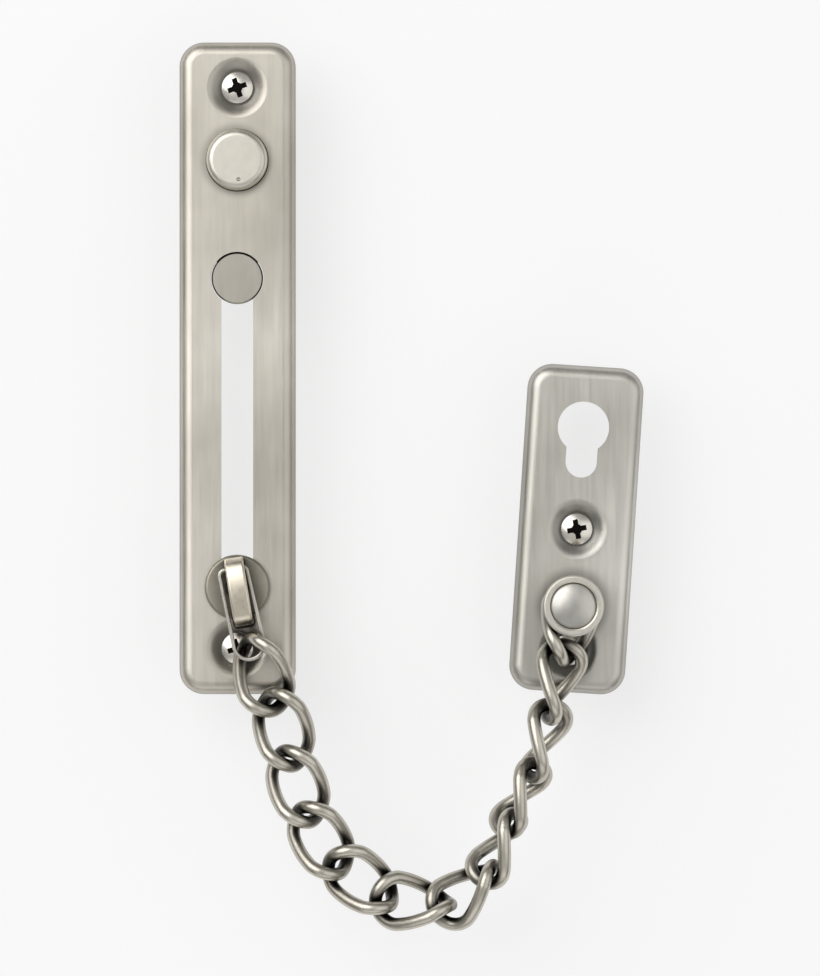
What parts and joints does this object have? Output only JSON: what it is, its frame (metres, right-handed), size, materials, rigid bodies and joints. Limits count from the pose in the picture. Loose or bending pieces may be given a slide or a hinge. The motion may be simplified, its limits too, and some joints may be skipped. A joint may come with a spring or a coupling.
{
  "type": "door chain guard",
  "caption": "Door chain guard: slotted track plate with push-button lock and swivel slider, a hanging chain of twisted links, and a keeper plate with a keyhole and stud.",
  "frame": {"origin": "on the door face, midway between the track plate's two screws", "axes": "+Z out of the door, +Y up the track towards its push button, +X across to the keeper plate"},
  "size_m": [0.1019, 0.1945, 0.0345],
  "materials": {
    "nickel_plate": "satin nickel, brushed lengthwise, darkened in the recesses",
    "nickel_bright": "satin nickel, lightly polished",
    "nickel_link": "satin nickel wire, darkened between the links",
    "screw_nickel": "satin nickel with dark cross recesses",
    "spring_steel": "plain spring steel",
    "zinc_plate": "plain zinc plated strip"
  },
  "bodies": {
    "track": {"track_plate": "nickel_plate", "track_screws": "screw_nickel", "bow_spring": "spring_steel"},
    "lock": {"lock_plate": "zinc_plate", "blocking_disc": "nickel_bright", "push_button": "nickel_bright"},
    "slider": {"slider_stud": "nickel_bright"},
    "swivel": {"slider_disc": "nickel_bright", "swivel_eye": "nickel_bright"},
    "ring": {"connecting_ring": "nickel_bright"},
    "link_01": {"chain_link_01": "nickel_link"},
    "link_02": {"chain_link_02": "nickel_link"},
    "link_03": {"chain_link_03": "nickel_link"},
    "link_04": {"chain_link_04": "nickel_link"},
    "link_05": {"chain_link_05": "nickel_link"},
    "link_06": {"chain_link_06": "nickel_link"},
    "link_07": {"chain_link_07": "nickel_link"},
    "link_08": {"chain_link_08": "nickel_link"},
    "link_09": {"chain_link_09": "nickel_link"},
    "link_10": {"chain_link_10": "nickel_link"},
    "link_11": {"chain_link_11": "nickel_link"},
    "end_link": {"end_link": "nickel_link"},
    "keeper": {"keeper_plate": "nickel_plate", "keeper_stud": "nickel_bright", "stud_collar": "nickel_bright", "keeper_screws": "screw_nickel"}
  },
  "joints": [
    {"name": "button_press", "type": "slide", "parent": "track", "child": "lock", "axis": [0, 0, -1], "range_m": [0, 0.0022], "stiffness_N_per_m": 600, "deforming": ["bow_spring"]},
    {"name": "slider_travel", "type": "slide", "parent": "track", "child": "slider", "axis": [0, 1, 0], "range_m": [0, 0.056]},
    {"name": "slider_swivel", "type": "hinge", "parent": "slider", "child": "swivel", "pos_m": [0, -0.048, 0.006], "axis": [0, 0, 1], "range_deg": [-40, 30]},
    {"name": "ring_lift", "type": "hinge", "parent": "swivel", "child": "ring", "pos_m": [-0.00089, -0.0439, 0.0097], "axis": [-0.977, -0.213, 0], "range_deg": [0, 30]},
    {"name": "link_01_swing", "type": "hinge", "parent": "ring", "child": "link_01", "pos_m": [0.004, -0.0592, 0.0098], "axis": [0, 0, 1], "range_deg": [-12, 12]},
    {"name": "link_02_swing", "type": "hinge", "parent": "link_01", "child": "link_02", "pos_m": [0.0084, -0.0727, 0.0099], "axis": [0, 0, -1], "range_deg": [-12, 12]},
    {"name": "link_03_swing", "type": "hinge", "parent": "link_02", "child": "link_03", "pos_m": [0.0112, -0.0852, 0.0101], "axis": [0, 0, 1], "range_deg": [-12, 12]},
    {"name": "link_04_swing", "type": "hinge", "parent": "link_03", "child": "link_04", "pos_m": [0.0149, -0.0975, 0.0103], "axis": [0, 0, -1], "range_deg": [-12, 12]},
    {"name": "link_05_swing", "type": "hinge", "parent": "link_04", "child": "link_05", "pos_m": [0.0215, -0.1101, 0.0105], "axis": [0, 0, 1], "range_deg": [-12, 12]},
    {"name": "link_06_swing", "type": "hinge", "parent": "link_05", "child": "link_06", "pos_m": [0.032, -0.1178, 0.0107], "axis": [0, 0, -1], "range_deg": [-4, 12]},
    {"name": "link_07_swing", "type": "hinge", "parent": "link_06", "child": "link_07", "pos_m": [0.0435, -0.1141, 0.0109], "axis": [0, 0, 1], "range_deg": [-12, 4]},
    {"name": "link_08_swing", "type": "hinge", "parent": "link_07", "child": "link_08", "pos_m": [0.0567, -0.1098, 0.0112], "axis": [0, 0, -1], "range_deg": [-4, 12]},
    {"name": "link_09_swing", "type": "hinge", "parent": "link_08", "child": "link_09", "pos_m": [0.0599, -0.0997, 0.0114], "axis": [0, 0, 1], "range_deg": [-12, 12]},
    {"name": "link_10_swing", "type": "hinge", "parent": "link_09", "child": "link_10", "pos_m": [0.0652, -0.0879, 0.0116], "axis": [0, 0, -1], "range_deg": [-12, 12]},
    {"name": "link_11_swing", "type": "hinge", "parent": "link_10", "child": "link_11", "pos_m": [0.0687, -0.0751, 0.0118], "axis": [0, 0, 1], "range_deg": [-12, 12]},
    {"name": "end_link_swing", "type": "hinge", "parent": "link_11", "child": "end_link", "pos_m": [0.0715, -0.062, 0.0115], "axis": [0, 0, -1], "range_deg": [-12, 12]},
    {"name": "keeper_turn", "type": "hinge", "parent": "end_link", "child": "keeper", "pos_m": [0.0734, -0.0519, 0.0095], "axis": [0, 0, 1], "range_deg": [-60, 60]}
  ]
}
